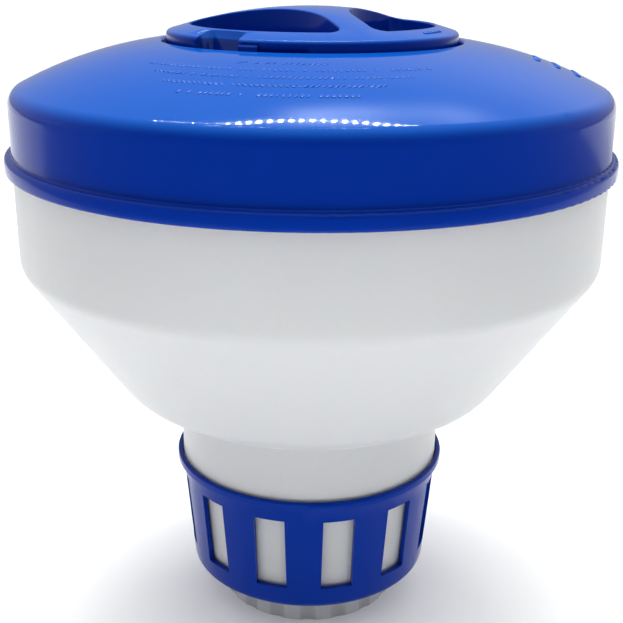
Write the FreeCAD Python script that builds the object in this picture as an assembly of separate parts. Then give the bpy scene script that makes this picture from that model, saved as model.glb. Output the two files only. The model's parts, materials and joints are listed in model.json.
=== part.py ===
"""Floating chlorine dispenser for a pool: a hollow float with a tablet tube down its middle, a twist-off
lid on top, and a slotted ring on its neck that is turned to let more or less water through.

Millimetres. +Z is up along the axis, the origin is the centre of the foot, and -Y is the front.
"""

import FreeCAD, Part  # noqa: E401
import math
import os

# Heights of the stack, from the foot upwards
BASE_HEIGHT = 12.0  # the plug that shows under the flow ring
RING_HEIGHT = 45.0
NECK_SHOWING = 21.0  # bare neck between the ring and the bowl, at the neck's own radius
UNDERSIDE_RISE = 6.3  # the bowl's underside rises this much on its way out
CONE_HEIGHT = 49.4
BOWL_WALL_HEIGHT = 31.1
FLANGE_HEIGHT = 5.2
SHELL_TO_COLLAR = 34.9  # from the top of the flange to the edge of the mouth
LID_PROUD = 2.85  # the lid's rim stands this far above the mouth
LID_CROWN = 7.7  # rise of the lid's domed top above its rim

# Radii seen from outside
BODY_R = 100.0
FLANGE_R = BODY_R + 2.5
CONE_FOOT_R = 65.4
BOWL_CORNER_FILLET = 8.0
NECK_R = 47.3
RING_FOOT_R = NECK_R - 3.4
RING_TAPER = 0.0872  # radius gained per mm of height
RIM_R = NECK_R + 2.1
MOUTH_R = 50.0
LID_R = MOUTH_R - 1.5

# Walls and running clearances
SHELL_WALL = 2.2
BODY_WALL = 2.2
NECK_WALL = 2.0
RING_WALL = 1.8
TUBE_WALL = 1.8
LID_WALL = 2.2
NECK_TO_RING = 0.8
FIT_GAP = 0.5
SLIDE_GAP = 0.3
SEAL_GAP = 0.05

# Domed top of the upper shell
DOME_RADIUS = 134.5
DOME_CENTRE_R = 35.9
SHOULDER_FILLET = 6.0

# Tablet tube and its two seals
TUBE_SEAL_THICK = 2.0
TUBE_BORE_R = NECK_R - NECK_WALL - TUBE_SEAL_THICK - 2 * SEAL_GAP - TUBE_WALL
TUBE_RIB = 2.0
TUBE_SEAT_ABOVE_RING = 1.5  # the shoulder in the neck that the tube stands on
TUBE_SOCKET = 10.0  # depth of the socket over the tube's top
LEDGE_THICK = 2.0

# Flow control
SLOTS = 12
SLOT_PITCH = 360.0 / SLOTS
FIRST_SLOT = -77.0  # polar angle of one ring slot's centre
RING_SLOT_WIDTH = 11.2
RING_SLOT_LOW = 21.0
RING_SLOT_TALL = 28.0
NECK_SLOT_MARGIN = 1.4  # each neck slot is smaller than a ring slot by this much on every side
RING_RIM_HEIGHT = 3.2
RING_TRAVEL = 15.0  # degrees from shut to fully open
STOP_PEG_R = 1.5
STOP_PEG_AT = RING_FOOT_R - 7.9
STOP_PEGS = 2

# Foot: hollow boss under the neck, with ballast, closed by the plug
FLOOR_THICK = 2.0
BOSS_R = 30.0
PLUG_R = BOSS_R + 3.0
BOSS_SPIGOT_R = BOSS_R - 2.0
BOSS_BORE_R = BOSS_R - 4.5
BOSS_FOOT = 3.0
PLUG_FLOOR = 2.5
PLUG_SEAL_THICK = 1.6
PLUG_SEAL_AT = 6.5
FLUTES = 18
FLUTE_R = 7.5
FLUTE_DEPTH = 0.9
BALLAST_TOP = 13.6

# Lid, bayonet and lid seal
LID_SKIRT_R = LID_R - 1.7
LID_EDGE_FILLET = 1.6
LID_STEP_DROP = 6.0  # from the mouth's edge down to the lid's seat on the bayonet lips
LIP_THICK = 3.2
LIP_BORE_R = LID_SKIRT_R + 1.1
LUG_THICK = 3.2
LUG_R = MOUTH_R - 0.5
LUGS = 3
LUG_ANGLE = 22.0
LUG_GAP_ANGLE = 28.0
LUG_FIRST = -9.3
LOCK_TURN = 35.0
STOP_RIB_ANGLE = 4.0
SEAL_BORE_R = LID_SKIRT_R + 0.65
SEAL_BORE_DEPTH = 6.6
LID_SEAL_THICK = 2.6
LID_SEAL_ABOVE_FOOT = 2.7

# Finger pockets between the three arms of the lid's grip
ARM_FIRST = -69.3
ARMS = 3
ARM_HALF = 5.2
POCKET_R = LID_R - 8.0
POCKET_DEPTH = 15.0
POCKET_WALL = 1.8
POCKET_INNER_FILLET = 42.0
POCKET_OUTER_FILLET = 4.0
POCKET_EDGE_FILLET = 0.6

# Finger notch and the child-lock tab beside it
NOTCH_FROM = -136.6
NOTCH_TO = -117.1
NOTCH_R = LID_R - 6.0
NOTCH_WALL = 1.8
NOTCH_FILLET = 1.6
TAB_TO = -89.0
TAB_THICK = 1.5
TAB_ARM_DROP = 0.5  # top of the tab's arm below the mouth's edge
PAWL_SKIN = 0.9  # lid's rim left above the pawl
PAWL_CHAMFER = 0.8
TAB_PAWL_ANGLE = 7.5
TAB_PAWL_PROUD = 0.55
TAB_SWING_ROOM = 1.8
TAB_PIVOT_R = 1.2

# Joint between the two halves of the float
SKIRT_WALL = 2.0
WEB_THICK = 2.0
GASKET_THICK = 1.1
SPIGOT_DEPTH = 8.7
SPIGOT_WALL = 2.0
SPIGOT_GAP = 0.3

# Levels that follow from the sizes above
RING_LOW = BASE_HEIGHT + FIT_GAP
RING_TOP = RING_LOW + RING_HEIGHT
TUBE_SEAT = RING_TOP + TUBE_SEAT_ABOVE_RING
UNDERSIDE_LOW = RING_TOP + NECK_SHOWING
CONE_LOW = UNDERSIDE_LOW + UNDERSIDE_RISE
BOWL_LOW = CONE_LOW + CONE_HEIGHT
FLANGE_LOW = BOWL_LOW + BOWL_WALL_HEIGHT
FLANGE_TOP = FLANGE_LOW + FLANGE_HEIGHT
MOUTH_TOP = FLANGE_TOP + SHELL_TO_COLLAR
LID_RIM_TOP = MOUTH_TOP + LID_PROUD
LID_TOP = LID_RIM_TOP + LID_CROWN
NECK_FOOT = RING_LOW + RING_WALL + FIT_GAP
LIP_TOP = MOUTH_TOP - LID_STEP_DROP - 2 * SEAL_GAP
LIP_LOW = LIP_TOP - LIP_THICK
LUG_TOP = LIP_LOW - SLIDE_GAP
LUG_LOW = LUG_TOP - LUG_THICK
SEAL_BORE_TOP = LUG_LOW - 1.6
LEDGE_TOP = SEAL_BORE_TOP - SEAL_BORE_DEPTH
SOCKET_TOP = LEDGE_TOP - LEDGE_THICK
TUBE_R = TUBE_BORE_R + TUBE_WALL
SOCKET_R = TUBE_R + TUBE_SEAL_THICK + 2 * SEAL_GAP
LID_SEAT = MOUTH_TOP - LID_STEP_DROP
LID_FOOT = LEDGE_TOP + FIT_GAP
LID_SEAL_AT = LID_FOOT + LID_SEAL_ABOVE_FOOT
WEB_LOW = FLANGE_TOP - WEB_THICK
BODY_TOP = WEB_LOW - GASKET_THICK

UP = FreeCAD.Vector(0, 0, 1)
ORIGIN = FreeCAD.Vector(0, 0, 0)


def polar(radius, degrees, z=0.0):
    """The point at that radius, polar angle and height."""
    a = math.radians(degrees)
    return FreeCAD.Vector(radius * math.cos(a), radius * math.sin(a), z)


def point(r, z):
    """A point of a lathe outline, drawn in the XZ plane."""
    return FreeCAD.Vector(r, 0, z)


def rounded(corners, closed=True):
    """Edges through corners (r, z, fillet), with each corner rounded by its fillet."""
    points = [point(c[0], c[1]) for c in corners]
    radii = [c[2] if len(c) > 2 else 0.0 for c in corners]
    count = len(points)
    ins, outs, mids = list(points), list(points), [None] * count
    for i in range(count):
        if radii[i] <= 0:
            continue
        before, here, after = points[i - 1], points[i], points[(i + 1) % count]
        a, b = before - here, after - here
        half = a.getAngle(b) / 2
        room = 0.49 * min(a.Length, b.Length)
        reach = min(radii[i] / math.tan(half), room)
        radius = reach * math.tan(half)
        a.normalize()
        b.normalize()
        ins[i], outs[i] = here + a * reach, here + b * reach
        bisector = (a + b).normalize()
        mids[i] = here + bisector * (radius / math.sin(half) - radius)
    edges = []
    for i in range(count):
        if mids[i] is not None:
            edges.append(Part.Arc(ins[i], mids[i], outs[i]).toShape())
        j = (i + 1) % count
        if (closed or j) and (ins[j] - outs[i]).Length > 1e-6:
            edges.append(Part.LineSegment(outs[i], ins[j]).toShape())
    return edges


def lathe(edges):
    """The solid that closed edges in the XZ plane sweep round the Z axis."""
    wire = Part.Wire(Part.__sortEdges__(edges))
    return Part.Face(wire).revolve(ORIGIN, UP, 360)


def turned(corners):
    """A solid of revolution from its corners (r, z, fillet)."""
    return lathe(rounded(corners))


def wedge(r_in, r_out, start, end, low, high):
    """A block between two radii, two polar angles and two heights."""
    middle = (start + end) / 2
    edges = [
        Part.Arc(polar(r_out, start, low), polar(r_out, middle, low), polar(r_out, end, low)).toShape(),
        Part.LineSegment(polar(r_out, end, low), polar(r_in, end, low)).toShape(),
        Part.Arc(polar(r_in, end, low), polar(r_in, middle, low), polar(r_in, start, low)).toShape(),
        Part.LineSegment(polar(r_in, start, low), polar(r_out, start, low)).toShape(),
    ]
    return Part.Face(Part.Wire(edges)).extrude(UP * (high - low))


def ring_of_round_section(radius, thick, z):
    """An O-ring: its section's centre at that radius, and its section's thickness."""
    return Part.makeTorus(radius, thick / 2, point(0, z), UP)


def upright_edges(solid):
    """The straight edges of a prism that run along Z."""
    return [e for e in solid.Edges if abs(e.Vertexes[0].Z - e.Vertexes[-1].Z) > 1]


def fuse_all(shapes):
    return shapes[0].fuse(shapes[1:]).removeSplitter()


def ring_r(z):
    """Outer radius of the flow ring's tapered wall at height z."""
    return RING_FOOT_R + RING_TAPER * (z - RING_LOW)


def neck_r(z):
    """Outer radius of the neck inside the flow ring."""
    return ring_r(z) - RING_WALL - NECK_TO_RING


def radial_slots(first, width, low, tall):
    """Blocks that cut SLOTS openings through a wall, each square to its own radius."""
    cutters = []
    for k in range(SLOTS):
        block = Part.makeBox(NECK_R, width, tall, FreeCAD.Vector(BOSS_R + 3, -width / 2, low))
        block.rotate(ORIGIN, UP, first + k * SLOT_PITCH)
        cutters.append(block)
    return cutters


def dome_circle_z(r, inset=0.0):
    """Height of the upper shell's domed top, or of a surface that far inside it."""
    radius = DOME_RADIUS - inset
    centre_z = MOUTH_TOP - math.sqrt(DOME_RADIUS**2 - (MOUTH_R - DOME_CENTRE_R) ** 2)
    return centre_z + math.sqrt(radius**2 - (r - DOME_CENTRE_R) ** 2), centre_z


def dome_edges(r_start, r_side, inset):
    """Arcs of the dome and its shoulder, from radius r_start out to the side wall at r_side."""
    radius, fillet = DOME_RADIUS - inset, SHOULDER_FILLET - inset
    start_z, centre_z = dome_circle_z(r_start, inset)
    hub_r = r_side - fillet
    hub_z = centre_z + math.sqrt((radius - fillet) ** 2 - (hub_r - DOME_CENTRE_R) ** 2)
    turn = math.atan2(hub_z - centre_z, hub_r - DOME_CENTRE_R)
    join = point(DOME_CENTRE_R + radius * math.cos(turn), centre_z + radius * math.sin(turn))
    mid_r = (r_start + join.x) / 2
    start, side = point(r_start, start_z), point(r_side, hub_z)
    middle = point(mid_r, dome_circle_z(mid_r, inset)[0])
    bend = point(hub_r + fillet * math.cos(turn / 2), hub_z + fillet * math.sin(turn / 2))
    return [Part.Arc(start, middle, join).toShape(), Part.Arc(join, bend, side).toShape()], start, side


def make_upper_shell():
    """Blue half of the float: domed top, side wall, flange, and the collar that the lid locks into."""
    inner_r = BODY_R - SHELL_WALL
    collar_r = MOUTH_R + SHELL_WALL
    outer, top_start, side_end = dome_edges(MOUTH_R, BODY_R, 0.0)
    inner, under_start, under_end = dome_edges(collar_r, inner_r, SHELL_WALL)
    spigot_r = BODY_R - BODY_WALL - SPIGOT_GAP
    spigot_foot = WEB_LOW - SPIGOT_DEPTH
    skirt_r = FLANGE_R - SKIRT_WALL
    socket_wall_r = SOCKET_R + SHELL_WALL
    seal_wall_r = SEAL_BORE_R + SHELL_WALL
    down_the_collar = [
        top_start,
        point(MOUTH_R, SEAL_BORE_TOP),
        point(SEAL_BORE_R, SEAL_BORE_TOP),
        point(SEAL_BORE_R, LEDGE_TOP),
        point(TUBE_BORE_R, LEDGE_TOP),
        point(TUBE_BORE_R, SOCKET_TOP),
        point(SOCKET_R, SOCKET_TOP),
        point(SOCKET_R, SOCKET_TOP - TUBE_SOCKET),
        point(socket_wall_r, SOCKET_TOP - TUBE_SOCKET),
        point(socket_wall_r, LEDGE_TOP - 2 * LEDGE_THICK),
        point(seal_wall_r, LEDGE_TOP),
        point(seal_wall_r, SEAL_BORE_TOP - SHELL_WALL),
        point(collar_r, SEAL_BORE_TOP),
        under_start,
    ]
    down_the_side = [
        under_end,
        point(inner_r, FLANGE_TOP + 2 * SPIGOT_WALL),
        point(spigot_r - SPIGOT_WALL, FLANGE_TOP),
        point(spigot_r - SPIGOT_WALL, spigot_foot),
        point(spigot_r, spigot_foot),
        point(spigot_r, WEB_LOW),
        point(skirt_r, WEB_LOW),
        point(skirt_r, FLANGE_LOW),
        point(FLANGE_R, FLANGE_LOW),
        point(FLANGE_R, FLANGE_TOP),
        point(BODY_R, FLANGE_TOP),
        side_end,
    ]
    edges = outer + inner
    for run in (down_the_collar, down_the_side):
        edges += [Part.LineSegment(a, b).toShape() for a, b in zip(run, run[1:])]
    shell = lathe(edges)
    for z, fillet in ((FLANGE_TOP, 1.5), (FLANGE_LOW, 0.8)):
        shell = shell.makeFillet(fillet, [e for e in shell.Edges if on_circle(e, FLANGE_R, z)])
    shell = shell.makeFillet(0.9, [e for e in shell.Edges if on_circle(e, MOUTH_R, MOUTH_TOP)])
    shell = shell.makeFillet(0.6, [e for e in shell.Edges if on_circle(e, BODY_R, FLANGE_TOP)])
    extras = []
    lip_angle = 360.0 / LUGS - LUG_GAP_ANGLE
    for k in range(LUGS):
        gap_end = LUG_FIRST + LUG_GAP_ANGLE / 2 + k * 360.0 / LUGS
        extras.append(wedge(LIP_BORE_R, MOUTH_R + 1, gap_end, gap_end + lip_angle, LIP_LOW, LIP_TOP))
        rib_to = LUG_FIRST + k * 360.0 / LUGS - LOCK_TURN - LUG_ANGLE / 2 - 1.0
        rib_from = rib_to - STOP_RIB_ANGLE
        extras.append(wedge(LIP_BORE_R, MOUTH_R + 1, rib_from, rib_to, SEAL_BORE_TOP - 1, LIP_LOW + 1))
    return fuse_all([shell] + extras)


def on_circle(edge, radius, z):
    """Whether an edge is the full circle of that radius and height about the axis."""
    if edge.Degenerated or not isinstance(edge.Curve, Part.Circle):
        return False
    return abs(edge.Curve.Radius - radius) < 1e-4 and abs(edge.Curve.Center.z - z) < 1e-4


def make_lower_body():
    """White half of the float: bowl, neck with its water slots, floor, and the hollow boss under it."""
    inner_r = BODY_R - BODY_WALL
    step_low = RING_TOP - RING_RIM_HEIGHT - 2.0
    neck_bore = SOCKET_R
    cone_slope = math.atan2(CONE_HEIGHT, BODY_R - CONE_FOOT_R)
    rise_slope = math.atan2(UNDERSIDE_RISE, CONE_FOOT_R - NECK_R)
    inner_foot_z = CONE_LOW + BODY_WALL / math.cos((cone_slope + rise_slope) / 2) * 0.94
    inner_foot_r = CONE_FOOT_R - BODY_WALL * math.sin((cone_slope + rise_slope) / 2)
    bore_low = neck_r(NECK_FOOT) - NECK_WALL
    bore_high = neck_r(step_low) - NECK_WALL
    corners = [
        (BODY_R, BODY_TOP),
        (BODY_R, BOWL_LOW, BOWL_CORNER_FILLET),
        (CONE_FOOT_R, CONE_LOW, 22.0),
        (NECK_R, UNDERSIDE_LOW, 1.0),
        (NECK_R, RING_TOP - 0.5, 0.6),
        (neck_r(step_low), step_low),
        (neck_r(NECK_FOOT), NECK_FOOT),
        (BOSS_R, NECK_FOOT),
        (BOSS_R, BASE_HEIGHT),
        (BOSS_SPIGOT_R, BASE_HEIGHT),
        (BOSS_SPIGOT_R, PLUG_SEAL_AT + PLUG_SEAL_THICK / 2 + 0.2),
        (BOSS_SPIGOT_R - PLUG_SEAL_THICK + SEAL_GAP, PLUG_SEAL_AT + PLUG_SEAL_THICK / 2 + 0.2),
        (BOSS_SPIGOT_R - PLUG_SEAL_THICK + SEAL_GAP, PLUG_SEAL_AT - PLUG_SEAL_THICK / 2 - 0.2),
        (BOSS_SPIGOT_R, PLUG_SEAL_AT - PLUG_SEAL_THICK / 2 - 0.2),
        (BOSS_SPIGOT_R, BOSS_FOOT),
        (BOSS_BORE_R, BOSS_FOOT),
        (BOSS_BORE_R, NECK_FOOT),
        (0, NECK_FOOT),
        (0, NECK_FOOT + FLOOR_THICK),
        (bore_low, NECK_FOOT + FLOOR_THICK, 1.0),
        (bore_high, step_low + 1.0),
        (TUBE_BORE_R, TUBE_SEAT - 1.0),
        (TUBE_BORE_R, TUBE_SEAT),
        (neck_bore, TUBE_SEAT),
        (neck_bore, UNDERSIDE_LOW + BODY_WALL, 1.0),
        (inner_foot_r, inner_foot_z, 22.0 - BODY_WALL),
        (inner_r, BOWL_LOW + BODY_WALL * 0.4, BOWL_CORNER_FILLET - BODY_WALL),
        (inner_r, BODY_TOP),
    ]
    body = turned(corners)
    first = FIRST_SLOT + RING_TRAVEL
    width = RING_SLOT_WIDTH - 2 * NECK_SLOT_MARGIN * 0.6
    low, tall = RING_SLOT_LOW + NECK_SLOT_MARGIN, RING_SLOT_TALL - 2 * NECK_SLOT_MARGIN
    body = body.cut(radial_slots(first, width, low, tall))
    pegs = []
    for k in range(STOP_PEGS):
        at = polar(STOP_PEG_AT, FIRST_SLOT + k * 360.0 / STOP_PEGS, RING_LOW + 0.4)
        pegs.append(Part.makeCylinder(STOP_PEG_R, NECK_FOOT + 1.0 - at.z, at, UP))
    return fuse_all([body] + pegs)


def make_flow_ring():
    """Blue slotted ring that turns on the neck. Its floor runs on the boss and is held up by the plug."""
    rim_low = RING_TOP - RING_RIM_HEIGHT
    bore_top = NECK_R + SLIDE_GAP + 0.1
    corners = [
        (BOSS_R + SLIDE_GAP, RING_LOW),
        (RING_FOOT_R, RING_LOW, 3.0),
        (ring_r(rim_low), rim_low, 0.8),
        (RIM_R, rim_low + 0.3, 0.5),
        (RIM_R, RING_TOP, 0.7),
        (bore_top, RING_TOP, 0.3),
        (bore_top, RING_TOP - 0.9),
        (ring_r(rim_low - 2.4) - RING_WALL, rim_low - 2.4),
        (RING_FOOT_R - RING_WALL, RING_LOW + RING_WALL, 1.2),
        (BOSS_R + SLIDE_GAP, RING_LOW + RING_WALL),
    ]
    ring = turned(corners)
    ring = ring.cut(radial_slots(FIRST_SLOT, RING_SLOT_WIDTH, RING_SLOT_LOW, RING_SLOT_TALL))
    for k in range(STOP_PEGS):
        peg = FIRST_SLOT + k * 360.0 / STOP_PEGS
        half = STOP_PEG_R + SLIDE_GAP
        play = math.degrees(half / STOP_PEG_AT)
        start, end = peg - RING_TRAVEL - play, peg + play
        track = wedge(STOP_PEG_AT - half, STOP_PEG_AT + half, start, end, RING_LOW - 1, NECK_FOOT)
        ring = ring.cut(track)
    return ring


def make_base_plug():
    """White fluted plug: closes the ballast chamber, holds the flow ring up, and is the foot."""
    inner_r = BOSS_SPIGOT_R + SEAL_GAP
    plug = turned(
        [
            (0, 0),
            (PLUG_R, 0, 0.7),
            (PLUG_R, BASE_HEIGHT, 0.5),
            (inner_r, BASE_HEIGHT),
            (inner_r, PLUG_FLOOR),
            (0, PLUG_FLOOR),
        ]
    )
    cutters = []
    for k in range(FLUTES):
        at = polar(PLUG_R + FLUTE_R - FLUTE_DEPTH, (k + 0.5) * 360.0 / FLUTES, -1.0)
        cutters.append(Part.makeCylinder(FLUTE_R, BASE_HEIGHT - 1.5, at, UP))
    return plug.cut(cutters)


def make_ballast():
    """Weight that keeps the float upright, a disc lying loose in the boss."""
    return turned(
        [
            (0, PLUG_FLOOR + FIT_GAP),
            (BOSS_BORE_R - FIT_GAP, PLUG_FLOOR + FIT_GAP, 0.8),
            (BOSS_BORE_R - FIT_GAP, BALLAST_TOP, 0.8),
            (0, BALLAST_TOP),
        ]
    )


def make_tablet_tube():
    """White tube between the neck and the collar. A pair of ribs at each end holds its O-ring."""
    low, high = TUBE_SEAT + 0.2, SOCKET_TOP - 0.2
    rib_r = SOCKET_R - SLIDE_GAP
    groove = TUBE_SEAL_THICK + 0.4
    side = [(TUBE_R, low)]
    for start in (low, high - 2 * TUBE_RIB - groove):
        side += [
            (TUBE_R, start),
            (rib_r, start),
            (rib_r, start + TUBE_RIB),
            (TUBE_R, start + TUBE_RIB),
            (TUBE_R, start + TUBE_RIB + groove),
            (rib_r, start + TUBE_RIB + groove),
            (rib_r, start + 2 * TUBE_RIB + groove),
            (TUBE_R, start + 2 * TUBE_RIB + groove),
        ]
    side = side[2:-1]
    return turned([(TUBE_BORE_R, low)] + side + [(TUBE_BORE_R, high)])


def tube_seal(top):
    """The O-ring at the top or the bottom of the tablet tube."""
    from_end = TUBE_RIB + TUBE_SEAL_THICK / 2 + 0.2
    z = SOCKET_TOP - 0.2 - from_end if top else TUBE_SEAT + 0.2 + from_end
    return ring_of_round_section(TUBE_R + SEAL_GAP + TUBE_SEAL_THICK / 2, TUBE_SEAL_THICK, z)


def make_float_gasket():
    """Flat rubber ring in the groove of the flange, on top of the bowl's rim."""
    low, high = BODY_TOP, WEB_LOW
    inner, outer = BODY_R - BODY_WALL - SPIGOT_GAP + SEAL_GAP, FLANGE_R - SKIRT_WALL - SEAL_GAP
    return turned([(inner, low), (outer, low), (outer, high), (inner, high)])


def lid_top_edges(r_rim, z_rim, z_crown):
    """Arc of the lid's domed top from its rim to the axis."""
    rise = z_crown - z_rim
    radius = (r_rim**2 + rise**2) / (2 * rise)
    mid_r = r_rim / 2
    middle = point(mid_r, z_crown - radius + math.sqrt(radius**2 - mid_r**2))
    return Part.Arc(point(r_rim, z_rim), middle, point(0, z_crown)).toShape()


def pocket(grow, low):
    """One finger pocket as an upright prism between two arms of the grip, grown all round by grow."""
    half, outer = ARM_HALF - grow, POCKET_R + grow
    span = 360.0 / ARMS
    side = math.degrees(math.asin(half / outer))
    corner_r = half / math.sin(math.radians(span / 2))
    start, end = polar(outer, side, low), polar(outer, span - side, low)
    centre, far = polar(corner_r, span / 2, low), polar(outer, span / 2, low)
    edges = [
        Part.LineSegment(centre, start).toShape(),
        Part.Arc(start, far, end).toShape(),
        Part.LineSegment(end, centre).toShape(),
    ]
    prism = Part.Face(Part.Wire(edges)).extrude(UP * (LID_TOP + 5 - low))
    uprights = upright_edges(prism)
    inner = [e for e in uprights if math.hypot(e.Vertexes[0].X, e.Vertexes[0].Y) < outer / 2]
    outers = [e for e in uprights if math.hypot(e.Vertexes[0].X, e.Vertexes[0].Y) > outer / 2]
    prism = prism.makeFillet(POCKET_OUTER_FILLET + grow, outers)
    inner = [e for e in upright_edges(prism) if math.hypot(e.Vertexes[0].X, e.Vertexes[0].Y) < outer / 2]
    return prism.makeFillet(max(POCKET_INNER_FILLET - grow, 1.0), inner)


def make_lid():
    """Blue twist-off lid: domed grip with three finger pockets, a finger notch, and a bayonet skirt."""
    groove_low = LID_SEAL_AT - LID_SEAL_THICK / 2 - 0.2
    groove_high = LID_SEAL_AT + LID_SEAL_THICK / 2 + 0.2
    groove_r = SEAL_BORE_R - 2 * SEAL_GAP - LID_SEAL_THICK - SEAL_GAP
    crown = lid_top_edges(LID_R, LID_RIM_TOP, LID_TOP)
    side = [
        point(LID_R, LID_RIM_TOP),
        point(LID_R, LID_SEAT),
        point(LID_SKIRT_R, LID_SEAT),
        point(LID_SKIRT_R, groove_high),
        point(groove_r, groove_high),
        point(groove_r, groove_low),
        point(LID_SKIRT_R, groove_low),
        point(LID_SKIRT_R, LID_FOOT),
        point(0, LID_FOOT),
        point(0, LID_TOP),
    ]
    solid = lathe([crown] + [Part.LineSegment(a, b).toShape() for a, b in zip(side, side[1:])])
    solid = solid.makeFillet(LID_EDGE_FILLET, [e for e in solid.Edges if on_circle(e, LID_R, LID_RIM_TOP)])
    under = lid_top_edges(LID_R - LID_WALL, LID_RIM_TOP - LID_WALL, LID_TOP - LID_WALL)
    bore_r = groove_r - LID_WALL * 0.8
    hollow_side = [
        point(LID_R - LID_WALL, LID_RIM_TOP - LID_WALL),
        point(LID_R - LID_WALL, LID_SEAT + LID_WALL),
        point(bore_r, LID_SEAT),
        point(bore_r, LID_FOOT - 1),
        point(0, LID_FOOT - 1),
        point(0, LID_TOP - LID_WALL),
    ]
    hollow_lines = [Part.LineSegment(a, b).toShape() for a, b in zip(hollow_side, hollow_side[1:])]
    hollow = lathe([under] + hollow_lines)
    pocket_low = LID_TOP - POCKET_DEPTH
    walls, cutters = [], []
    for k in range(ARMS):
        for grow, low, into in ((POCKET_WALL, pocket_low - POCKET_WALL, walls), (0.0, pocket_low, cutters)):
            prism = pocket(grow, low)
            prism.rotate(ORIGIN, UP, ARM_FIRST + k * 360.0 / ARMS)
            into.append(prism)
    notch_low = LID_SEAT + LID_WALL
    turn = math.degrees(NOTCH_WALL / NOTCH_R)
    back_from, back_to = NOTCH_FROM - turn, TAB_TO + 2 * turn
    backing = wedge(NOTCH_R - NOTCH_WALL, LID_R - 0.3, back_from, back_to, LID_SEAT, LID_TOP)
    hollow = hollow.cut(walls + [backing])
    lid = solid.cut(hollow)
    notch = wedge(NOTCH_R, LID_R + 3, NOTCH_FROM, NOTCH_TO + 0.01, notch_low, LID_TOP + 1)
    inner_corner = [e for e in upright_edges(notch) if is_at(e, NOTCH_R, NOTCH_FROM)]
    notch = notch.makeFillet(NOTCH_FILLET, inner_corner)
    lid = lid.cut(cutters)
    lid = soften_pockets(lid)
    lid = lid.cut([notch, tab_room()])
    lugs = []
    for k in range(LUGS):
        at = LUG_FIRST + k * 360.0 / LUGS
        lugs.append(wedge(bore_r + 0.5, LUG_R, at - LUG_ANGLE / 2, at + LUG_ANGLE / 2, LUG_LOW, LUG_TOP))
    return fuse_all([lid] + lugs)


def is_at(edge, radius, degrees):
    """Whether an upright edge stands at that radius and polar angle."""
    want = polar(radius, degrees)
    return math.hypot(edge.Vertexes[0].X - want.x, edge.Vertexes[0].Y - want.y) < 0.01


def soften_pockets(lid):
    """Rounds the edge where the finger pockets meet the domed top."""
    rim = []
    for e in lid.Edges:
        box = e.BoundBox
        outermost = max(math.hypot(v.X, v.Y) for v in e.Vertexes)
        if box.ZMin > LID_RIM_TOP + 0.2 and outermost < POCKET_R + 0.1 and box.DiagonalLength > 0.5:
            rim.append(e)
    return lid.makeFillet(POCKET_EDGE_FILLET, rim)


def tab_levels():
    """Low and high of the child-lock tab's arm."""
    return LID_SEAT + LID_WALL + SLIDE_GAP, MOUTH_TOP - TAB_ARM_DROP


def tab_pivot():
    """Where the tab's root turns in the lid."""
    return polar(LID_R - TAB_THICK - SLIDE_GAP, TAB_TO)


def tab_room():
    """Rebate in the lid's rim that the tab lies and swings in, with the socket for its root."""
    low, high = LID_SEAT + LID_WALL, MOUTH_TOP - TAB_ARM_DROP + SLIDE_GAP
    inner_r = LID_R - TAB_THICK - TAB_SWING_ROOM
    room = wedge(inner_r, LID_R + 3, NOTCH_TO - 0.01, TAB_TO - 1.0, low, high)
    pawl_to = NOTCH_TO + TAB_PAWL_ANGLE + 0.7
    pawl_room = wedge(inner_r, LID_R + 3, NOTCH_TO - 0.01, pawl_to, low, LID_RIM_TOP - PAWL_SKIN)
    room = room.fuse(pawl_room)
    socket = Part.makeCylinder(TAB_PIVOT_R + SEAL_GAP, high - low, tab_pivot() + UP * low, UP)
    return room.fuse(socket)


def make_lock_tab():
    """Child-lock tab: a thin curved arm in the lid's rim, with a pawl at its free end."""
    low, high = tab_levels()
    outer = LID_R - 0.1
    start = NOTCH_TO + 0.3
    arm = wedge(outer - TAB_THICK, outer, start, TAB_TO - 1.4, low, high)
    crest = LID_RIM_TOP - PAWL_SKIN - SLIDE_GAP / 2
    pawl = wedge(outer - TAB_THICK, outer + TAB_PAWL_PROUD, start, start + TAB_PAWL_ANGLE, low, crest)
    front = outer + TAB_PAWL_PROUD
    brow = [e for e in pawl.Edges if is_level_arc(e, front, crest)]
    pawl = pawl.makeChamfer(PAWL_CHAMFER, brow)
    root = Part.makeCylinder(TAB_PIVOT_R, high - low, tab_pivot() + UP * low, UP)
    web = wedge(outer - TAB_THICK, outer - TAB_THICK / 2, TAB_TO - 2.0, TAB_TO - 0.3, low, high)
    return fuse_all([arm, pawl, root, web])


def is_level_arc(edge, radius, z):
    """Whether both ends of an edge are at that radius and height."""
    return all(abs(math.hypot(v.X, v.Y) - radius) < 0.01 and abs(v.Z - z) < 0.01 for v in edge.Vertexes)


def main():
    lid_seal_r = SEAL_BORE_R - 2 * SEAL_GAP - LID_SEAL_THICK / 2
    plug_seal_r = BOSS_SPIGOT_R - PLUG_SEAL_THICK / 2 + SEAL_GAP
    parts = {
        "upper_shell": make_upper_shell(),
        "float_gasket": make_float_gasket(),
        "lower_body": make_lower_body(),
        "tablet_tube": make_tablet_tube(),
        "tube_top_seal": tube_seal(True),
        "tube_bottom_seal": tube_seal(False),
        "flow_ring": make_flow_ring(),
        "base_plug": make_base_plug(),
        "base_plug_seal": ring_of_round_section(plug_seal_r, PLUG_SEAL_THICK - 2 * SEAL_GAP, PLUG_SEAL_AT),
        "ballast_disc": make_ballast(),
        "lid": make_lid(),
        "lid_seal": ring_of_round_section(lid_seal_r, LID_SEAL_THICK, LID_SEAL_AT),
        "lock_tab": make_lock_tab(),
    }
    os.makedirs("parts", exist_ok=True)
    for name, shape in parts.items():
        box = shape.BoundBox
        print(
            f"{name:18s} valid {shape.isValid()} solids {len(shape.Solids)} volume {shape.Volume:10.1f}"
            f"  z {box.ZMin:7.2f} to {box.ZMax:7.2f}  r {max(box.XMax, box.YMax):7.2f}"
        )
        shape.exportStep(f"parts/{name}.step")


main()
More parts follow.
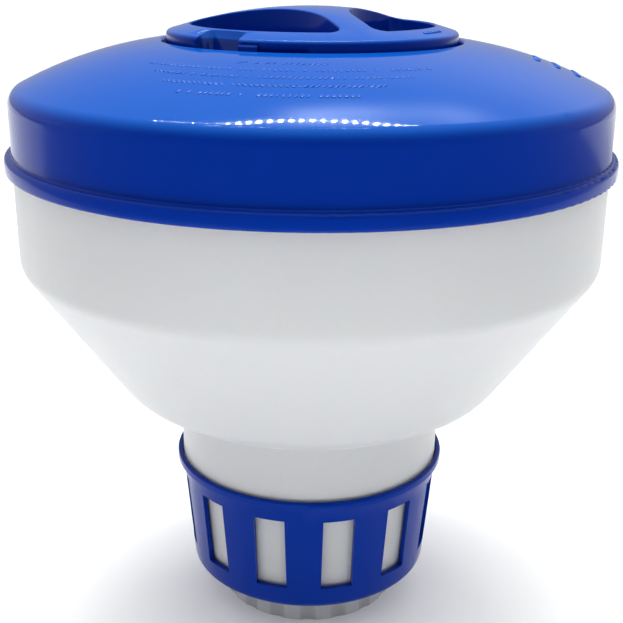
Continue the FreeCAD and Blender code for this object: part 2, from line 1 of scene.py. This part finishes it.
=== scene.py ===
# %% [markdown]
# # A floating chlorine dispenser, built up in Blender
#
# The dispenser floats in a pool and lets water reach the tablets inside it. A blue shell and a white bowl
# make the float. A blue lid twists off the top, and a blue slotted ring turns on the neck below.
#
# The engineering model is loaded first, as a frame. It has every piece at its real size and place, in
# metres, with +Z up and the front towards -Y. It could all be modelled again here, but a part is easier
# to trust when its shape comes from one place. So the CAD shapes are kept, and this file gives them
# smooth faces, moulded details and finishes.

# %% Load the frame
import bpy
import bmesh
import math
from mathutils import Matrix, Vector
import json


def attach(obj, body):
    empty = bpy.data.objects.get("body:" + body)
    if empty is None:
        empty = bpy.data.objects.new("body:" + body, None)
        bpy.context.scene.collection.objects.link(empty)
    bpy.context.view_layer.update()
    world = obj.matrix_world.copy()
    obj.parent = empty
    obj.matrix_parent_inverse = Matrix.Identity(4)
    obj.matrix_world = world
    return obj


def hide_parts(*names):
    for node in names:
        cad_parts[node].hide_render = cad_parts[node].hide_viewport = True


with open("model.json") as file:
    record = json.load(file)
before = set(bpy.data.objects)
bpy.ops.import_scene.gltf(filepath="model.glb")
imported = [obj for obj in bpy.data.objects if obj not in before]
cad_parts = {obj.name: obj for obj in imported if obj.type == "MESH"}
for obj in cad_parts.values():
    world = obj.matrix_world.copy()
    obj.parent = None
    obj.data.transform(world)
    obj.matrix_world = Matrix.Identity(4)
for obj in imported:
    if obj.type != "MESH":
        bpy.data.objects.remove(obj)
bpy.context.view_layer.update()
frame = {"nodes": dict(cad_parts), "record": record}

print("nodes:", ", ".join(sorted(frame["nodes"])))

# %% [markdown]
# ## The camera
#
# A camera can be aimed by hand, by a constraint, or by numbers. Numbers are chosen here, because they say
# plainly how the dispenser is seen: from straight in front, a little above the lid, looking down by
# nineteen degrees from less than half a metre away. A view this close makes the far rim look smaller.

# %% Camera
CAMERA_DISTANCE = 0.3626
CAMERA_HEIGHT = 0.2342
CAMERA_DOWN = 19.1
CAMERA_ROLL = -0.5
SENSOR = 36.0
LENS = 60.9

camera_data = bpy.data.cameras.new("front_camera")
camera_data.sensor_width = SENSOR
camera_data.lens = LENS
camera_data.shift_x = -0.0030
camera_data.shift_y = 0.0015
camera_data.clip_start = 0.01
camera = bpy.data.objects.new("front_camera", camera_data)
camera.location = (0.0, -CAMERA_DISTANCE, CAMERA_HEIGHT)
camera.rotation_euler = (math.radians(90 - CAMERA_DOWN), math.radians(CAMERA_ROLL), 0.0)
bpy.context.scene.collection.objects.link(camera)
bpy.context.scene.camera = camera
bpy.context.scene.view_settings.view_transform = "Standard"
print("camera looks down by", CAMERA_DOWN, "degrees")

# %% [markdown]
# ## Writing a finish as sums
#
# A finish in Blender is a graph of nodes. Building one with the mouse is easy to start and hard to read
# back. Here a small class stands for one output of a node. The signs + - * / ** work on it, and each adds
# the Math node that it stands for. A finish then reads like the sums that it does.


# %% A signal that takes arithmetic
class Signal:
    """One output of a shader node, on which arithmetic adds Math nodes."""

    def __init__(self, graph, socket):
        self.graph = graph
        self.socket = socket

    def _sum(self, operation, first, second):
        return self.graph.node("ShaderNodeMath", {"operation": operation}, {0: first, 1: second})

    def __add__(self, other):
        return self._sum("ADD", self, other)

    def __radd__(self, other):
        return self._sum("ADD", other, self)

    def __sub__(self, other):
        return self._sum("SUBTRACT", self, other)

    def __rsub__(self, other):
        return self._sum("SUBTRACT", other, self)

    def __mul__(self, other):
        return self._sum("MULTIPLY", self, other)

    def __rmul__(self, other):
        return self._sum("MULTIPLY", other, self)

    def __truediv__(self, other):
        return self._sum("DIVIDE", self, other)

    def __pow__(self, other):
        return self._sum("POWER", self, other)

    def at_least(self, other):
        return self._sum("MAXIMUM", self, other)


# %% A graph of nodes, and a finish made of one
class Graph:
    """A node tree under construction. The finishes and the studio's sky are both made with it."""

    def __init__(self, tree):
        self.tree = tree

    def node(self, kind, settings=None, sockets=None, output=0):
        """Adds one node: its settings first, then the values or links of its sockets."""
        made = self.tree.nodes.new(kind)
        for key, value in (settings or {}).items():
            setattr(made, key, value)
        for key, value in (sockets or {}).items():
            self.feed(made.inputs[key], value)
        return Signal(self, made.outputs[output])

    def feed(self, socket, value):
        if isinstance(value, Signal):
            self.tree.links.new(value.socket, socket)
        else:
            socket.default_value = value

    def axis(self, vector, number):
        """One number of a vector: 0 for X, 1 for Y, 2 for Z."""
        return self.node("ShaderNodeSeparateXYZ", None, {"Vector": vector}, output=number)


class Finish(Graph):
    """A material under construction, with its surface shader already in place."""

    def __init__(self, name, colour, roughness, **fixed):
        self.material = bpy.data.materials.new(name)
        self.material.use_nodes = True
        super().__init__(self.material.node_tree)
        self.shader = self.tree.nodes["Principled BSDF"]
        self.into("Base Color", (*colour, 1.0))
        self.into("Roughness", roughness)
        for socket, value in fixed.items():
            self.into(socket.replace("_", " "), value)
        self.material.diffuse_color = (*colour, 1.0)

    def into(self, name, value):
        """Feeds one socket of the surface shader."""
        self.feed(self.shader.inputs[name], value)

    def place(self):
        """Where on the piece we are, in metres."""
        return self.node("ShaderNodeTexCoord", output=3)

    def noise(self, scale, detail=2.0, stretch=(1.0, 1.0, 1.0)):
        """A soft random pattern with that many waves to the metre."""
        where = self.node("ShaderNodeMapping", None, {"Vector": self.place(), "Scale": stretch})
        return self.node("ShaderNodeTexNoise", None, {"Vector": where, "Scale": scale, "Detail": detail})

    def height(self):
        """Height above the foot, in metres."""
        return self.axis(self.place(), 2)

    def upward(self):
        """How much the surface faces up: 1 on a level top, 0 on a wall."""
        return self.axis(self.node("ShaderNodeNewGeometry", output=1), 2)

    def ramp(self, value):
        """The value held between 0 and 1, with soft ends."""
        return self.node("ShaderNodeMapRange", {"interpolation_type": "SMOOTHSTEP"}, {0: value})

    def mixed(self, factor, one, two):
        """A colour between two others. The factor picks one at 0 and two at 1."""
        colours = [c if isinstance(c, Signal) else (*c, 1.0) for c in (one, two)]
        sockets = {0: factor, 6: colours[0], 7: colours[1]}
        return self.node("ShaderNodeMix", {"data_type": "RGBA"}, sockets, output=2)

    def bump(self, height, distance, strength=1.0):
        """Bends the surface's light by a pattern that tall, in metres."""
        settings = {"Height": height, "Distance": distance, "Strength": strength}
        self.into("Normal", self.node("ShaderNodeBump", None, settings))


print("finishes are written as sums from here on")

# %% [markdown]
# ## Blue moulded plastic
#
# The shell, the lid and the ring are moulded in one deep blue plastic with a wet shine. A coat of lacquer
# could give the shine, but here the colour runs all the way through, so one surface shader is enough.
# Four things vary over it:
#
# - Faces that look up are paler: this is painted light from overhead. The upright walls keep the deep
#   colour.
# - Walls are a little duller than the top, because they rub against the mould as it opens.
# - The skin has the faint waviness of a moulding, cloudy patches where hands have dulled it, and fine
#   scuffs.
# - The notch in the lid's rim is darker inside: this is painted shade.
#
# The shine itself is tinted blue. White highlights would turn so deep a blue to purple at its edges.

# %% Painted shade in a hollow
# Painted shade: the colour inside the lid's notch, darker where shadow falls.
BLUE_PAINTED_SHADE = (0.0002, 0.006, 0.10)
LID_NOTCH = (0.0418, 0.0476, 0.2081)


def painted_shade_in_hollow(finish, inner, outer, rim):
    """Where painted shade goes: how far inside a ring-shaped hollow we are, between two distances from the
    axis and below a rim.
    """
    x, y = finish.axis(finish.place(), 0), finish.axis(finish.place(), 1)
    radius = (x * x + y * y) ** 0.5
    between = finish.ramp((radius - inner) * 3000.0) * finish.ramp((outer - radius) * 1500.0)
    return between * finish.ramp((rim - finish.height()) * 1500.0)


# %% Blue plastic
BLUE = (0.0010, 0.026, 0.29)
BLUE_DEEP = (0.0006, 0.019, 0.24)
# Painted light: the paler blue of faces that look up, where overhead light falls.
BLUE_PAINTED_LIGHT = (0.003, 0.090, 0.48)
BLUE_SHINE = (0.25, 0.60, 1.0, 1.0)
PAINTED_LIGHT_RISE = 0.0012
WALL_DULLNESS = 0.08
PEEL_HEIGHT = 0.000003


def blue_plastic(name, roughness, painted_light_above=None, hollow=None):
    """Deep blue plastic. Level faces above a height get painted light, and one hollow can get painted shade.
    """
    shine = {"IOR": 1.46, "Specular_IOR_Level": 0.16, "Specular_Tint": BLUE_SHINE}
    finish = Finish(name, BLUE, roughness, **shine)
    clouds = finish.noise(14.0, 3.0)
    colour = finish.mixed(clouds, BLUE_DEEP, BLUE)
    if painted_light_above is not None:
        # Painted light: faces that look up, above this height, are coloured paler.
        top = finish.ramp((finish.height() - painted_light_above) / PAINTED_LIGHT_RISE)
        painted_light_share = finish.ramp((finish.upward() - 0.25) * 1.5 + (clouds - 0.5) * 0.12) * top
        colour = finish.mixed(painted_light_share, colour, BLUE_PAINTED_LIGHT)
        roughness = roughness + (1.0 - top) * WALL_DULLNESS
    if hollow is not None:
        # Painted shade: the colour is darker inside the hollow.
        colour = finish.mixed(painted_shade_in_hollow(finish, *hollow) * 0.85, colour, BLUE_PAINTED_SHADE)
    finish.into("Base Color", colour)
    scuffs = finish.noise(700.0, 2.0)
    finish.into("Roughness", roughness * (1.0 + (clouds - 0.5) * 0.3 + (scuffs - 0.5) * 0.2))
    finish.bump(finish.noise(150.0, 1.0), PEEL_HEIGHT)
    return finish.material


# %% The four blues
SHELL_BLUE = blue_plastic("shell_blue", 0.055, 0.185)
LID_BLUE = blue_plastic("lid_blue", 0.13, 0.2062, hollow=LID_NOTCH)
RING_BLUE = blue_plastic("ring_blue", 0.20)
raised_shine = {"IOR": 1.46, "Specular_IOR_Level": 0.3, "Specular_Tint": BLUE_SHINE}
# Painted light: the raised marks take the pale lit blue of the dome top on every face, in two tones mixed at
# random.
raised_blue = Finish("raised_blue", BLUE_PAINTED_LIGHT, 0.2, **raised_shine)
wear = raised_blue.noise(90.0, 3.0)
raised_blue.into("Base Color", raised_blue.mixed(wear, (0.003, 0.080, 0.48), (0.008, 0.110, 0.58)))
raised_blue.into("Roughness", 0.14 + wear * 0.14)
print("made", SHELL_BLUE.name, LID_BLUE.name, RING_BLUE.name, raised_blue.material.name)

# %% [markdown]
# ## White moulded plastic
#
# The bowl, neck, tube and plug are white polypropylene: satin, and slightly see-through at its skin,
# which softens the light in it. Full scattering below the surface would be slow and turns thin walls waxy,
# so only a little is used, three millimetres deep. The rest of the softness comes from a broad, gentle
# shine and a colour that is a touch cool. The flow of the melt leaves faint upright streaks in the shine.

# %% White plastic
WHITE = (0.530, 0.541, 0.553)
WHITE_COOL = (0.497, 0.509, 0.529)


def white_plastic(name, roughness):
    finish = Finish(name, WHITE, roughness, IOR=1.48, Subsurface_Weight=0.15, Subsurface_Scale=0.003)
    clouds = finish.noise(9.0, 3.0)
    finish.into("Base Color", finish.mixed(clouds, WHITE_COOL, WHITE))
    streaks = finish.noise(120.0, 2.0, (1.0, 1.0, 0.06))
    grain = finish.noise(1400.0, 2.0)
    finish.into("Roughness", roughness + (streaks - 0.5) * 0.12 + (clouds - 0.5) * 0.08)
    finish.bump(streaks * 0.5 + grain * 0.25, 0.00008)
    return finish.material


BOWL_WHITE = white_plastic("bowl_white", 0.36)
PLUG_WHITE = white_plastic("plug_white", 0.42)
TUBE_WHITE = white_plastic("tube_white", 0.42)
print("made", BOWL_WHITE.name, PLUG_WHITE.name, TUBE_WHITE.name)

# %% [markdown]
# ## Rubber and iron
#
# The seals are black rubber, matt with a dusty bloom. The ballast is a bare iron disc with a cast skin
# and a little brown in its hollows. Neither is seen until the dispenser is opened, but each gets its own
# finish all the same.

# %% Rubber and iron
seal_rubber = Finish("seal_rubber", (0.02, 0.02, 0.021), 0.62)
bloom = seal_rubber.noise(160.0, 4.0)
seal_rubber.into("Base Color", seal_rubber.mixed(bloom, (0.012, 0.012, 0.013), (0.045, 0.045, 0.047)))
seal_rubber.into("Roughness", 0.5 + bloom * 0.25)
seal_rubber.bump(bloom, 0.00005)

ballast_iron = Finish("ballast_iron", (0.16, 0.155, 0.15), 0.55, Metallic=1.0)
pits = ballast_iron.noise(420.0, 5.0)
ballast_iron.into("Base Color", ballast_iron.mixed(pits, (0.10, 0.055, 0.03), (0.24, 0.235, 0.23)))
ballast_iron.into("Roughness", 0.75 - pits * 0.35)
ballast_iron.bump(pits, 0.0002)
print("made seal_rubber ballast_iron")

# %% [markdown]
# ## Smooth skins for the CAD pieces
#
# A CAD piece comes over as loose triangles, so light breaks at every one. Each piece is copied, its
# corners are merged, and its faces are shaded smooth except across real edges. The copy then stands for
# the CAD piece, which is hidden, rides on the same body, and is given its own finish.
#
# The shell and the bowl are round as if turned on a lathe, and a glossy round wall shows the least error
# in its shading: a straight row of lamps is mirrored as a wavy line. More triangles would help only
# slowly. Instead, all the corners on one ring get the same tilt, and on the shell's dome and shoulder,
# which are plain arcs, the tilt is worked out from the arc's centre.

# %% Where each piece belongs
BODY_OF = {n: body for body, names in frame["record"]["behaviour"]["bodies"].items() for n in names}
print("bodies:", ", ".join(sorted(set(BODY_OF.values()))))

# %% The exact tilt on an arc
DOME_ARC = (0.0359, 0.07164, 0.1345)
SHOULDER_ARC = (0.094, 0.18626, 0.006)
SHELL_ARCS = (DOME_ARC, SHOULDER_ARC)
ON_ARC = 0.00004
NEAR_TILT = math.radians(12.0)


def arc_tilt(radius, height, tilt, arcs):
    """The exact tilt of a turned surface where its outline is an arc.

    Each arc is its centre's distance from the axis, its centre's height, and its radius."""
    for centre_radius, centre_height, arc_radius in arcs:
        out, up = radius - centre_radius, height - centre_height
        exact = math.atan2(up, out)
        if abs(math.hypot(out, up) - arc_radius) < ON_ARC and abs(exact - tilt) < NEAR_TILT:
            return exact
    return tilt


# %% Even rings
TURNED = 0.06
ONE_FACE = math.radians(6.0)


def rings_of(mesh, arcs):
    """The corners of a turned mesh, gathered by ring: each with its tilt, its number and its way outward."""
    rings = {}
    for corner, loop in zip(mesh.corner_normals, mesh.loops):
        place = mesh.vertices[loop.vertex_index].co
        radius = math.hypot(place.x, place.y)
        if radius < 0.001:
            continue
        outward = Vector((place.x / radius, place.y / radius, 0.0))
        normal = corner.vector
        if abs(normal.x * outward.y - normal.y * outward.x) < TURNED:
            tilt = arc_tilt(radius, place.z, math.atan2(normal.z, normal.dot(outward)), arcs)
            ring = rings.setdefault((round(radius, 5), round(place.z, 5)), [])
            ring.append((tilt, loop.index, outward))
    return rings


def even_rings(mesh, arcs):
    """Gives the corners on one side of a ring the same tilt, so reflections run straight round it."""
    rings = rings_of(mesh, arcs)
    normals = [corner.vector.copy() for corner in mesh.corner_normals]
    for ring in rings.values():
        ring.sort(key=lambda entry: entry[0])
        run = []
        for entry, after in zip(ring, ring[1:] + [None]):
            run.append(entry)
            if after is None or after[0] - entry[0] > ONE_FACE:
                tilt = sum(t for t, _, _ in run) / len(run)
                for _, index, outward in run:
                    normals[index] = outward * math.cos(tilt) + Vector((0.0, 0.0, math.sin(tilt)))
                run = []
    mesh.normals_split_custom_set(normals)
    return len(rings)


# %% Smooth copies
SHARP = math.radians(28.0)


def skin(node, material, arcs=None):
    """A smooth copy of a CAD piece, in its place. With arcs, even an empty list, its rings are evened."""
    mesh = frame["nodes"][node].data.copy()
    mesh.name = node + "_skin"
    bm = bmesh.new()
    bm.from_mesh(mesh)
    bmesh.ops.remove_doubles(bm, verts=bm.verts, dist=2e-6)
    bmesh.ops.dissolve_degenerate(bm, edges=bm.edges, dist=1e-7)
    bm.to_mesh(mesh)
    bm.free()
    mesh.shade_smooth()
    mesh.set_sharp_from_angle(angle=SHARP)
    if arcs is not None:
        print(node, "has", even_rings(mesh, arcs), "rings")
    mesh.materials.clear()
    mesh.materials.append(material)
    piece = bpy.data.objects.new(node + "_skin", mesh)
    bpy.context.scene.collection.objects.link(piece)
    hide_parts(node)
    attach(piece, BODY_OF[node])
    print(piece.name, "has", len(mesh.polygons), "faces")
    return piece


upper_shell = skin("upper_shell", SHELL_BLUE, arcs=SHELL_ARCS)
lid_skin = skin("lid", LID_BLUE)
skin("lock_tab", LID_BLUE)
skin("flow_ring", RING_BLUE)
skin("lower_body", BOWL_WHITE, arcs=())
skin("base_plug", PLUG_WHITE)
skin("tablet_tube", TUBE_WHITE)
skin("ballast_disc", ballast_iron.material)
for seal in ("float_gasket", "tube_top_seal", "tube_bottom_seal", "base_plug_seal", "lid_seal"):
    skin(seal, seal_rubber.material)

# %% [markdown]
# ## Raised rows
#
# The real shell has a block of raised print moulded into the front of its dome, and a few raised marks at
# its side and on the lid. These get plain raised dashes in their place, so nothing can be read. They
# could be drawn as bumps in the finish, but a moulded mark catches light on its own edges, so they are
# real geometry. Geometry Nodes lay them out: one row after another on wider and wider arcs, each dash
# dropped straight down onto the piece below and tilted to lie on it. One recipe makes all three sets,
# with other values.

# %% A small helper for Geometry Nodes
class Recipe:
    """A Geometry Nodes tree under construction, with named inputs."""

    def __init__(self, name):
        self.tree = bpy.data.node_groups.new(name, "GeometryNodeTree")
        self.tree.interface.new_socket("Geometry", in_out="OUTPUT", socket_type="NodeSocketGeometry")
        self.given = self.tree.nodes.new("NodeGroupInput")
        self.result = self.tree.nodes.new("NodeGroupOutput")
        self.identifiers = {}

    def input(self, name, kind):
        """A named input of the tree."""
        socket = self.tree.interface.new_socket(name, in_out="INPUT", socket_type="NodeSocket" + kind)
        self.identifiers[name] = socket.identifier
        return self.given.outputs[name]

    def node(self, kind, settings=None, sockets=None, output=0):
        """Adds one node: its settings, then the values or links of its sockets."""
        made = self.tree.nodes.new(kind)
        for key, value in (settings or {}).items():
            setattr(made, key, value)
        for key, value in (sockets or {}).items():
            if isinstance(value, bpy.types.NodeSocket):
                self.tree.links.new(value, made.inputs[key])
            else:
                made.inputs[key].default_value = value
        return made.outputs[output]

    def sum(self, operation, first, second=0.0):
        return self.node("ShaderNodeMath", {"operation": operation}, {0: first, 1: second})

    def run(self, name, values, node):
        """Runs the tree with these values and keeps its result as a plain mesh on that node's body."""
        carrier = bpy.data.objects.new(name + "_carrier", bpy.data.meshes.new(name + "_carrier"))
        bpy.context.scene.collection.objects.link(carrier)
        modifier = carrier.modifiers.new("recipe", "NODES")
        modifier.node_group = self.tree
        for key, value in values.items():
            modifier[self.identifiers[key]] = value
        graph = bpy.context.evaluated_depsgraph_get()
        mesh = bpy.data.meshes.new_from_object(carrier.evaluated_get(graph))
        mesh.name = name
        carrier.modifiers.remove(modifier)
        bpy.data.objects.remove(carrier)
        piece = bpy.data.objects.new(name, mesh)
        bpy.context.scene.collection.objects.link(piece)
        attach(piece, BODY_OF[node])
        print(name, "has", len(mesh.polygons), "faces")
        return piece


# %% The recipe for rows of raised marks
marks = Recipe("raised_marks")
onto = marks.input("Onto", "Object")
row_count = marks.input("Rows", "Int")
per_row = marks.input("Marks per row", "Int")
first_radius = marks.input("First radius", "Float")
row_pitch = marks.input("Row pitch", "Float")
middle_angle = marks.input("Middle angle", "Float")
mark_pitch = marks.input("Mark pitch", "Float")
shortest = marks.input("Shortest half length", "Float")
longest = marks.input("Longest half length", "Float")
half_width = marks.input("Half width", "Float")
raised_by = marks.input("Raised by", "Float")
gap_share = marks.input("Share left out", "Float")
first_half = marks.input("First row's half length", "Float")
row_grows = marks.input("Rows grow by", "Float")
second_half = marks.input("Second row's half length", "Float")
row_shrinks = marks.input("Rows shrink by", "Float")
finish_used = marks.input("Finish", "Material")

total = marks.sum("MULTIPLY", row_count, per_row)
line = marks.node("GeometryNodeMeshLine", None, {"Count": total})
index = marks.node("GeometryNodeInputIndex")
row = marks.sum("FLOOR", marks.sum("DIVIDE", marks.sum("ADD", index, 0.5), per_row))
column = marks.sum("SUBTRACT", index, marks.sum("MULTIPLY", row, per_row))
radius = marks.sum("ADD", first_radius, marks.sum("MULTIPLY", row, row_pitch))
half_row = marks.sum("MULTIPLY", marks.sum("SUBTRACT", per_row, 1.0), 0.5)
along = marks.sum("MULTIPLY", marks.sum("SUBTRACT", column, half_row), mark_pitch)
angle = marks.sum("ADD", middle_angle, marks.sum("DIVIDE", along, radius))

# %% Drop the marks onto the surface
east = marks.sum("MULTIPLY", radius, marks.sum("SINE", angle))
south = marks.sum("MULTIPLY", radius, marks.sum("MULTIPLY", marks.sum("COSINE", angle), -1.0))
above = marks.node("ShaderNodeCombineXYZ", None, {"X": east, "Y": south, "Z": 0.3})
surface = marks.node("GeometryNodeObjectInfo", {"transform_space": "RELATIVE"}, {0: onto}, "Geometry")
ray = {0: surface, "Source Position": above, "Ray Direction": (0, 0, -1), "Ray Length": 1.0}
drop = marks.node("GeometryNodeRaycast", None, ray, "Hit Position")
lying = marks.node("GeometryNodeSetPosition", None, {0: line, "Position": drop})
turned = marks.node("ShaderNodeCombineXYZ", None, {"Z": angle})
tilt = {"Rotation": turned, "Vector": drop.node.outputs["Hit Normal"]}
facing = marks.node("FunctionNodeAlignRotationToVector", {"axis": "Z"}, tilt)

# %% Shape and choose the marks
reach = {2: shortest, 3: longest, "ID": index, "Seed": 4}
stretch = marks.node("FunctionNodeRandomValue", {"data_type": "FLOAT"}, reach, 1)
size = marks.node("ShaderNodeCombineXYZ", None, {"X": stretch, "Y": half_width, "Z": raised_by})
bead = marks.node("GeometryNodeMeshUVSphere", None, {"Segments": 12, "Rings": 6, "Radius": 1.0})
draw = {2: 0.0, 3: 1.0, "ID": index, "Seed": 11}
chance = marks.node("FunctionNodeRandomValue", {"data_type": "FLOAT"}, draw, 1)
widening = marks.sum("ADD", marks.sum("MULTIPLY", row, row_grows), first_half)
narrowing = marks.sum("SUBTRACT", second_half, marks.sum("MULTIPLY", row, row_shrinks))
row_end = marks.sum("MINIMUM", widening, narrowing)
past_end = marks.sum("GREATER_THAN", marks.sum("ABSOLUTE", along), row_end)
left_out = marks.sum("MAXIMUM", past_end, marks.sum("LESS_THAN", chance, gap_share))
kept = marks.node("GeometryNodeDeleteGeometry", {"domain": "POINT"}, {0: lying, "Selection": left_out})
each = {0: kept, "Instance": bead, "Rotation": facing, "Scale": size}
beads = marks.node("GeometryNodeInstanceOnPoints", None, each)
real = marks.node("GeometryNodeRealizeInstances", None, {0: beads})
smooth = marks.node("GeometryNodeSetShadeSmooth", None, {0: real})
coloured = marks.node("GeometryNodeSetMaterial", None, {0: smooth, "Material": finish_used})
marks.tree.links.new(coloured, marks.result.inputs[0])
print("the recipe has", len(marks.tree.nodes), "steps")

# %% The block of rows on the dome
front_block = {
    "Onto": upper_shell,
    "Rows": 5,
    "Marks per row": 62,
    "First radius": 0.0625,
    "Row pitch": 0.0052,
    "Middle angle": math.radians(-8.0),
    "Mark pitch": 0.00165,
    "Shortest half length": 0.00035,
    "Longest half length": 0.00075,
    "Half width": 0.0012,
    "Raised by": 0.00014,
    "Share left out": 0.13,
    "First row's half length": 0.0125,
    "Rows grow by": 0.06,
    "Second row's half length": 0.051,
    "Rows shrink by": 0.0060,
    "Finish": raised_blue.material,
}
marks.run("dome_dashes", front_block, "upper_shell")

# %% The few marks on the dome's side and on the lid
PLAIN_ROWS = {
    "First row's half length": 1.0,
    "Rows grow by": 0.0,
    "Second row's half length": 1.0,
    "Rows shrink by": 0.0,
}
side_block = dict(front_block, **PLAIN_ROWS)
side_block.update({"Rows": 3, "Marks per row": 9, "First radius": 0.074, "Row pitch": 0.0065})
side_block.update({"Middle angle": math.radians(82.0), "Raised by": 0.0003, "Share left out": 0.25})
marks.run("dome_side_marks", side_block, "upper_shell")
lid_block = dict(side_block, Onto=lid_skin, Rows=1)
lid_block.update({"Marks per row": 7, "First radius": 0.0443, "Middle angle": math.radians(58.0)})
lid_block.update({"Half width": 0.0009, "Raised by": 0.00035, "Share left out": 0.1})
marks.run("lid_marks", lid_block, "lid")

# %% [markdown]
# ## The floor
#
# The dispenser stands on a pale paper sheet. An endless floor would be simpler, but the glossy blue wall
# would mirror it all the way round and lose its depth. So the sheet is narrow in front, where the wall
# sees it, and widens behind, where the camera sees it. A faint glow of its own keeps the shadow light.

# %% Floor
FRONT_EDGE, FRONT_HALF_WIDTH = -0.50, 0.42
BACK_EDGE, BACK_HALF_WIDTH = 6.0, 6.0
FLOOR_LEVEL = -0.0002
front = [(-FRONT_HALF_WIDTH, FRONT_EDGE), (FRONT_HALF_WIDTH, FRONT_EDGE)]
back = [(BACK_HALF_WIDTH, BACK_EDGE), (-BACK_HALF_WIDTH, BACK_EDGE)]
floor_mesh = bpy.data.meshes.new("pale_floor")
floor_mesh.from_pydata([(x, y, FLOOR_LEVEL) for x, y in front + back], [], [(0, 1, 2, 3)])
floor = bpy.data.objects.new("pale_floor", floor_mesh)
bpy.context.scene.collection.objects.link(floor)
paper = Finish("pale_paper", (0.88, 0.88, 0.88), 0.8)
paper.into("Roughness", 0.7 + paper.noise(60.0) * 0.2)
paper.into("Emission Color", (1.0, 1.0, 1.0, 1.0))
paper.into("Emission Strength", 0.11)
floor_mesh.materials.append(paper.material)
print("the sheet is", BACK_EDGE - FRONT_EDGE, "metres deep")

# %% [markdown]
# ## The sky
#
# Most of the light is the studio's own. A plain white world would be even, but then the blue looks flat
# and milky. This one is dim in front and below, which keeps the walls deep, and bright overhead, which
# lights the dome. A few soft patches, high up and behind, are mirrored in the shell's shoulder as a pale
# sweep that runs off to the right. What the camera sees behind the dispenser is plain white.

# %% Sky
SKY_AROUND = 0.68
SKY_SLOPE = 0.10
SKY_SIDES = 0.40
SKY_BELOW = 0.45
SKY_OVERHEAD = 1.9
SKY_SEEN = 1.0
# Each patch is its direction, its brightness and how tight it is.
SOFT_PATCHES = (
    ((0.00, 0.52, 0.854), 8.0, 420.0),
    ((0.10, 0.54, 0.835), 6.5, 380.0),
    ((0.20, 0.56, 0.800), 6.0, 320.0),
    ((0.31, 0.58, 0.753), 3.0, 280.0),
    ((0.43, 0.77, 0.48), 0.4, 20.0),
)
world = bpy.data.worlds.new("studio")
world.use_nodes = True
sky = Graph(world.node_tree)
toward = sky.node("ShaderNodeTexCoord", output=0)
behind = sky.axis(toward, 1)
up = sky.axis(toward, 2)
above_floor = sky.node("ShaderNodeMath", {"operation": "GREATER_THAN"}, {0: up, 1: 0.0})
around = SKY_AROUND + behind * SKY_SLOPE - behind * behind * SKY_SIDES
light = SKY_BELOW + above_floor * (around - SKY_BELOW) + up.at_least(0.0) ** 6.0 * SKY_OVERHEAD
for direction, brightness, tightness in SOFT_PATCHES:
    both = {0: toward, 1: direction}
    facing_it = sky.node("ShaderNodeVectorMath", {"operation": "DOT_PRODUCT"}, both, output=1)
    light = light + facing_it.at_least(0.0) ** tightness * brightness
seen = sky.node("ShaderNodeLightPath", output=0)
strength = seen * SKY_SEEN + (1.0 - seen) * light
sky.feed(sky.tree.nodes["Background"].inputs["Strength"], strength)
sky.feed(sky.tree.nodes["Background"].inputs["Color"], (1.0, 1.0, 1.0, 1.0))
bpy.context.scene.world = world
print("the sky is dim in front and bright overhead, with", len(SOFT_PATCHES), "soft patches")

# %% [markdown]
# ## The lamps
#
# A bright dotted line runs along the shell's shoulder. It could be painted on, but it has to move when the
# view does, so it is a true reflection of small lamps. They stand in two straight rows, one overhead and
# behind, and a weaker one almost straight overhead. One more lamp lights the paper in front.


# %% Lamps
def panel(name, place, target, width, height, watts):
    """A soft rectangular lamp aimed at a point."""
    data = bpy.data.lights.new(name, "AREA")
    data.shape = "RECTANGLE"
    data.size = width
    data.size_y = height
    data.energy = watts
    lamp = bpy.data.objects.new(name, data)
    lamp.location = place
    lamp.rotation_euler = (Vector(target) - Vector(place)).to_track_quat("-Z", "Y").to_euler()
    bpy.context.scene.collection.objects.link(lamp)
    return lamp


# %% Two rows and a floor light
ROW_MIDDLE = -0.11
SHOULDER_Y, SHOULDER_Z = -0.09, 0.19
LAMP_WIDTH = 0.009


def lamp_row(name, count, pitch, y, z, height, watts):
    """A straight row of small lamps over the dispenser, aimed at the front of its shoulder."""
    for k in range(count):
        x = (k - (count - 1) / 2) * pitch + ROW_MIDDLE
        panel(name, (x, y, z), (x * 0.5, SHOULDER_Y, SHOULDER_Z), LAMP_WIDTH, height, watts)


lamp_row("high_row", 28, 0.032, 0.50, 1.236, 0.016, 0.22)
lamp_row("front_row", 22, 0.030, 0.217, 1.35, 0.050, 0.13)
floor_light = panel("floor_light", (0.0, -0.40, 0.5), (0.0, -0.401, 0.0), 0.7, 0.35, 1.7)
floor_light.data.spread = math.radians(50.0)
print("lamps are up:", len(bpy.data.lights))

# %% [markdown]
# ## Close the file
#

# %% The end of the file
import json
